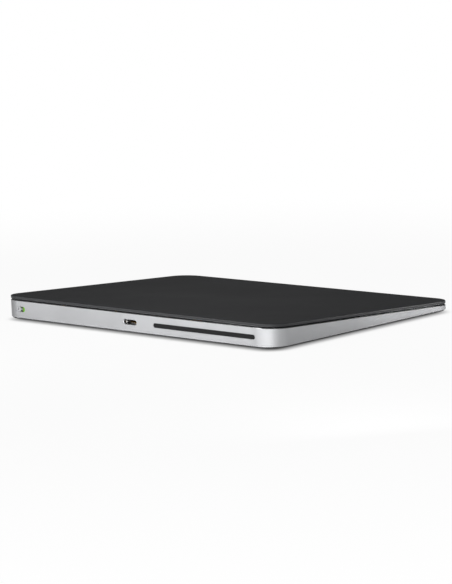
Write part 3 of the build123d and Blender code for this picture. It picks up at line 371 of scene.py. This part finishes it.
def gaugeGrid(look):
    # constantan foil etched in a fine grid on polyimide, drawn twice as coarse as it is
    material, tree, shader, place = startMaterial("strainGaugeEtched", look)
    made = finishSurface(tree, shader, place, look)
    bars = addNode(tree, "ShaderNodeTexWave", {"wave_type": "BANDS", "bands_direction": "Y"}, {
        "Vector": place, "Scale": waveTurn / (look["gridPitchMm"] * mm)}).outputs["Fac"]
    colour = addNode(tree, "ShaderNodeMix", {"data_type": "RGBA"}, {
        "Factor": bars, "A": made["toned"], "B": linearColour(look["gridColour"])})
    tree.links.new(colour.outputs["Result"], shader.inputs["Base Color"])
    return material


coilCopper = {"colour": "#a8552a", "colourDrift": "#96481f", "roughness": 0.25, "roughDrift": 0.05,
              "metallic": 0.9, "patchMm": 2.0, "grainMm": 0.2, "grainDepthMm": 0.002, "turnPitchMm": 0.632,
              "turnDepthMm": 0.05}


def woundCopper(look):
    # enamelled copper wire, wound flat: the turns stand up as fine ridges, drawn twice as wide as the wire
    material, tree, shader, place = startMaterial("copperWireEnamelled", look)
    made = finishSurface(tree, shader, place, look)
    turns = addNode(tree, "ShaderNodeTexWave", {"wave_type": "BANDS", "bands_direction": "X"}, {
        "Vector": place, "Scale": waveTurn / (look["turnPitchMm"] * mm)}).outputs["Fac"]
    tree.links.new(turns, made["bump"].inputs["Height"])
    made["bump"].inputs["Distance"].default_value = look["turnDepthMm"] * mm
    return material


siliconeGel = {"colour": "#c8ccd2", "colourDrift": "#bcc1c8", "roughness": 0.25, "roughDrift": 0.05,
               "ior": 1.41, "patchMm": 1.5, "grainMm": 0.2, "grainDepthMm": 0.002, "clear": 0.35}


def clearGel(look):
    # soft silicone gel: milky, with a wet surface
    material, tree, shader, place = startMaterial("siliconeGelCast", look)
    finishSurface(tree, shader, place, look)
    shader.inputs["Transmission Weight"].default_value = look["clear"]
    return material


# moulded epoxy: dull black with a slight tooth
chipEpoxy = {"colour": "#1b1b1c", "colourDrift": "#262627", "roughness": 0.55, "roughDrift": 0.06,
             "ior": 1.55, "patchMm": 2.0, "grainMm": 0.12, "grainDepthMm": 0.004}
# aluminium foil under a laminated nylon film: dark, with soft creases
cellPouch = {"colour": "#3a3b3d", "colourDrift": "#46474a", "roughness": 0.4, "roughDrift": 0.08,
             "metallic": 0.6, "patchMm": 12.0, "grainMm": 1.2, "grainDepthMm": 0.02}
# extruded fluoropolymer: black and slippery
cableJacket = {"colour": "#1d1d1e", "colourDrift": "#2a2a2b", "roughness": 0.35, "roughDrift": 0.05,
               "ior": 1.35, "patchMm": 1.5, "grainMm": 0.12, "grainDepthMm": 0.002}
# die-cut acrylic foam tape: off-white and matt
adhesiveTape = {"colour": "#d9d7cf", "colourDrift": "#cfccc2", "roughness": 0.65, "roughDrift": 0.05,
                "ior": 1.48, "patchMm": 3.0, "grainMm": 0.3, "grainDepthMm": 0.006}
# the feet's silicone in near black
bumperRubber = dict(footRubber, colour="#2a2a2b", colourDrift="#333334")

dress(solderMask(boardMask), "touch_sensor_board", "socket_board", "main_board", "power_board",
      "battery_guard_board", "antenna_board", "switch_board")
dress(plainFinish("epoxyChipMoulded", chipEpoxy), "touch_controller", "main_chips", "power_parts",
      "board_connectors")
dress(rolledMetal("steelTinnedStamped", tinnedSteel), "stiffener_plate", "radio_shield", "haptic_frame",
      "haptic_cover")
dress(rolledMetal("steelSpringRolled", springSteel), "socket_springs", *corners("force_beam"))
dress(rolledMetal("steelScrewTurned", screwSteel), "sensor_screws", "board_screws", "haptic_screws",
      "haptic_rods")
dress(rolledMetal("tungstenSledSintered", sledTungsten), "haptic_sled")
dress(rolledMetal("magnetNickelPlated", magnetNickel), "haptic_magnets")
dress(rolledMetal("nickelTabRolled", tabNickel), "battery_tabs")
dress(printedFilm(ribbonFilm), "touch_ribbon", "socket_ribbon", "bridge_ribbon", "haptic_ribbon",
      "switch_ribbon")
dress(gaugeGrid(gaugeFoil), "strain_gauges")
dress(plainFinish("pouchFoilLaminated", cellPouch), "battery_cell_left", "battery_cell_right")
dress(plainFinish("fluoropolymerJacketExtruded", cableJacket), "antenna_cable")
dress(plainFinish("acrylicTapeCut", adhesiveTape), "battery_adhesive")
dress(mouldedSilicone(bumperRubber), "haptic_bumpers")
dress(woundCopper(coilCopper), "haptic_coils")
dress(clearGel(siliconeGel), *corners("gel_pad"))
print("stage: inner finishes on")


# Touch ribbon

touchRibbon = {"node": "touch_ribbon", "name": "touchRibbonFolding", "low": "base", "high": "plate",
               "slot": "ribbon_film"}


def foldRibbon(look):
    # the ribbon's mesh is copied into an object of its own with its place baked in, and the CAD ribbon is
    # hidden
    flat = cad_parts[look["node"]]
    ribbon = bpy.data.objects.new(look["name"], flat.data.copy())
    bpy.context.scene.collection.objects.link(ribbon)
    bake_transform(ribbon)
    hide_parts(look["node"])


foldRibbon(touchRibbon)


# Stage

floorLook = {"halfWidth": 6.0, "colour": "#f2f2f2", "underPaintedShadow": "#858585", "paintedShadowMm": 2.0,
             "shadowMm": (-7.0, 4.0), "nearGlow": 0.93, "farMm": (60.0, 400.0), "white": "#ffffff"}


def clearOfPad(tree):  # how far a point of the floor lies outside the pad's outline, in metres
    place = addNode(tree, "ShaderNodeTexCoord").outputs["Object"]
    radius = pad["cornerMm"] * mm
    core = (cadHigh[0] - radius, cadHigh[1] - radius, 0)
    folded = addNode(tree, "ShaderNodeVectorMath", {"operation": "ABSOLUTE"}, {0: place}).outputs[0]
    offset = addNode(tree, "ShaderNodeVectorMath", {"operation": "SUBTRACT"}, {
        0: folded, 1: core}).outputs[0]
    beyond = addNode(tree, "ShaderNodeVectorMath", {"operation": "MAXIMUM"}, {
        0: offset, 1: (0, 0, 0)}).outputs[0]
    reach = addNode(tree, "ShaderNodeVectorMath", {"operation": "LENGTH"}, {0: beyond}).outputs["Value"]
    return addNode(tree, "ShaderNodeMath", {"operation": "SUBTRACT"}, {0: reach, 1: radius}).outputs[0]


def sortRays(tree):  # 1 for what the camera sees itself, and 1 for what metal or glass shows it
    rays = addNode(tree, "ShaderNodeLightPath").outputs
    mirrored = addNode(tree, "ShaderNodeMath", {"operation": "MAXIMUM"}, {
        0: rays["Is Glossy Ray"], 1: rays["Is Transmission Ray"]}).outputs[0]
    return rays["Is Camera Ray"], mirrored


def sweepPaper(look):
    # matt paper that glows where it should be plain white. Under the pad and at its edge it shows the lamps'
    # light and the pad's shadow, then mostly white, and all white further out. Metal and glass see the lit
    # paper near the pad and the white further out, and the paper's colour darkens under the pad as a painted
    # shadow.
    material = bpy.data.materials.new("paperSweepMatt")
    material.use_nodes = True
    tree = material.node_tree
    tree.nodes.remove(tree.nodes["Principled BSDF"])
    clear = clearOfPad(tree)
    camera, mirrored = sortRays(tree)
    shadowStart, shadowEnd = look["shadowMm"]
    farStart, farEnd = look["farMm"]
    far = addNode(tree, "ShaderNodeMapRange", {"interpolation_type": "SMOOTHSTEP"}, {
        "Value": clear, "From Min": farStart * mm, "From Max": farEnd * mm}).outputs["Result"]
    glow = addNode(tree, "ShaderNodeMath", {"operation": "MULTIPLY_ADD"}, {
        0: far, 1: 1 - look["nearGlow"], 2: look["nearGlow"]}).outputs[0]
    near = addNode(tree, "ShaderNodeMapRange", {"interpolation_type": "SMOOTHSTEP"}, {
        "Value": clear, "From Min": shadowStart * mm, "From Max": shadowEnd * mm, "To Max": glow})
    seen = addNode(tree, "ShaderNodeMath", {"operation": "MULTIPLY"}, {
        0: camera, 1: near.outputs["Result"]}).outputs[0]
    shown = addNode(tree, "ShaderNodeMath", {"operation": "MULTIPLY"}, {0: mirrored, 1: far}).outputs[0]
    share = addNode(tree, "ShaderNodeMath", {"operation": "MAXIMUM"}, {0: seen, 1: shown}).outputs[0]
    # painted shadow: the paper is darkest under the pad and fades to its own colour over 2 mm past the edge
    paintedShadowFade = addNode(tree, "ShaderNodeMath", {"operation": "DIVIDE"}, {
        0: clear, 1: look["paintedShadowMm"] * mm}).outputs[0]
    paper = addNode(tree, "ShaderNodeMix", {"data_type": "RGBA"}, {
        "Factor": paintedShadowFade, "A": linearColour(look["underPaintedShadow"]), "B": linearColour(look["colour"])})
    matt = addNode(tree, "ShaderNodeBsdfDiffuse", None, {"Color": paper.outputs["Result"]}).outputs[0]
    plain = addNode(tree, "ShaderNodeEmission", None, {
        "Color": linearColour(look["white"]), "Strength": 1.0}).outputs[0]
    mixed = addNode(tree, "ShaderNodeMixShader", None, {0: share, 1: matt, 2: plain}).outputs[0]
    tree.links.new(mixed, tree.nodes["Material Output"].inputs["Surface"])
    return material


def makeFloor(look):
    sweep = bmesh.new()
    bmesh.ops.create_grid(sweep, x_segments=1, y_segments=1, size=look["halfWidth"])
    mesh = bpy.data.meshes.new("floor")
    sweep.to_mesh(mesh)
    sweep.free()
    mesh.materials.append(sweepPaper(look))
    floor = bpy.data.objects.new("floor", mesh)
    bpy.context.scene.collection.objects.link(floor)


sky = {"dark": 0.1, "bright": 1.0, "edge": (0.2, 0.75), "fill": 0.3, "colour": "#ffffff"}


def makeWorld(look):
    # the backdrop is white where it is seen, and in metal and glass too, down to a dark card in front of the
    # pad. Matt surfaces take a weak even fill from it, and the lamps do the rest.
    world = bpy.data.worlds.new("studio")
    bpy.context.scene.world = world
    world.use_nodes = True
    tree = world.node_tree
    camera, mirrored = sortRays(tree)
    way = addNode(tree, "ShaderNodeTexCoord").outputs["Generated"]
    axes = addNode(tree, "ShaderNodeSeparateXYZ", None, {0: way}).outputs
    edgeStart, edgeEnd = look["edge"]
    side = addNode(tree, "ShaderNodeMapRange", {"interpolation_type": "SMOOTHSTEP"}, {
        "Value": axes["Y"], "From Min": edgeStart, "From Max": edgeEnd,
        "To Min": look["dark"], "To Max": look["bright"]}).outputs["Result"]
    unseen = addNode(tree, "ShaderNodeMix", {"data_type": "FLOAT"}, {
        "Factor": mirrored, "A": look["fill"], "B": side}).outputs["Result"]
    strength = addNode(tree, "ShaderNodeMath", {"operation": "MAXIMUM"}, {0: unseen, 1: camera}).outputs[0]
    background = tree.nodes["Background"]
    background.inputs["Color"].default_value = linearColour(look["colour"])
    tree.links.new(strength, background.inputs["Strength"])


# two long banks a little way off light the walls and two soft lamps lift the glass. The cards and the pool
# each brighten one stretch, as the photograph shows it. Places are in metres.
lamps = [
    {"name": "bankBehindPad", "at": (0, 1.5, 0.16), "aim": (0, 0, 0), "size": (2.9, 0.3), "watts": 24.5},
    {"name": "bankBesideRight", "at": (-1.48, 0.21, 0.16), "aim": (0, 0, 0), "size": (2.25, 0.3),
     "watts": 4.2},
    {"name": "softFrontLeft", "at": (0.5, -0.5, 0.2), "aim": (0, 0, 0.005), "size": (0.2, 0.2),
     "watts": 0.04},
    {"name": "softOverPad", "at": (0, 0.08, 0.12), "aim": (0, 0.03, 0), "size": (0.06, 0.06), "watts": 0.02},
    {"name": "cardRearRight", "at": (-0.2, 0.14, 0.05), "aim": (-0.08, 0.05, 0.006), "size": (0.06, 0.08),
     "watts": 0.032},
    {"name": "cardRearLeft", "at": (0.06, 0.2, 0.05), "aim": (0.04, 0.055, 0.006), "size": (0.06, 0.08),
     "watts": 0.062},
    {"name": "cardSideFront", "at": (-0.157, -0.13, 0.03), "aim": (-0.08, -0.045, 0.006),
     "size": (0.035, 0.05), "watts": 0.092},
    {"name": "poolRearLeft", "at": (0.104, 0.088, 0.02), "aim": (0.104, 0.088, 0),
     "size": (0.012, 0.012), "watts": 0.0016},
]


def addLamp(look):
    lamp = bpy.data.lights.new(look["name"], "AREA")
    lamp.shape = "RECTANGLE"
    lamp.size, lamp.size_y = look["size"]
    lamp.energy = look["watts"]
    place = bpy.data.objects.new(look["name"], lamp)
    bpy.context.scene.collection.objects.link(place)
    place.location = look["at"]
    place.rotation_euler = (Vector(look["aim"]) - Vector(look["at"])).to_track_quat("-Z", "Y").to_euler()
    place.visible_camera = False


# fitted to the pad's outline in the photograph, for a pad of the real size
photoView = {"aimMm": (0, 0, 4), "azimuth": 223.638, "elevation": 8.541, "roll": -2.318,
             "distanceMm": 939.756, "rightMm": 0.521, "upMm": 6.074, "focalPixels": 2173.829,
             "framePixels": (452, 584), "sensorMm": 36.0, "clipStart": 0.01}


def makeCamera(look):
    # the photograph's own view, from behind and a little above
    turn, rise, roll = (math.radians(look[name]) for name in ("azimuth", "elevation", "roll"))
    back = Vector((math.sin(turn) * math.cos(rise), -math.cos(turn) * math.cos(rise), math.sin(rise)))
    right = Vector((0, 0, 1)).cross(back).normalized()
    up = back.cross(right)
    lens = bpy.data.cameras.new("photoView")
    lens.sensor_width = look["sensorMm"]
    lens.lens = look["sensorMm"] * look["focalPixels"] / max(look["framePixels"])
    lens.clip_start = look["clipStart"]
    place = bpy.data.objects.new("photoView", lens)
    bpy.context.scene.collection.objects.link(place)
    spot = Vector(look["aimMm"]) + look["distanceMm"] * back + look["rightMm"] * right + look["upMm"] * up
    aimed = Matrix.Rotation(turn, 4, "Z") @ Matrix.Rotation(math.pi / 2 - rise, 4, "X")
    place.matrix_world = Matrix.Translation(spot * mm) @ aimed @ Matrix.Rotation(roll, 4, "Z")
    bpy.context.scene.camera = place


makeFloor(floorLook)
makeWorld(sky)
for look in lamps:
    addLamp(look)
makeCamera(photoView)
bpy.context.scene.view_settings.view_transform = "Standard"
print("stage: floor, lamps and camera set")
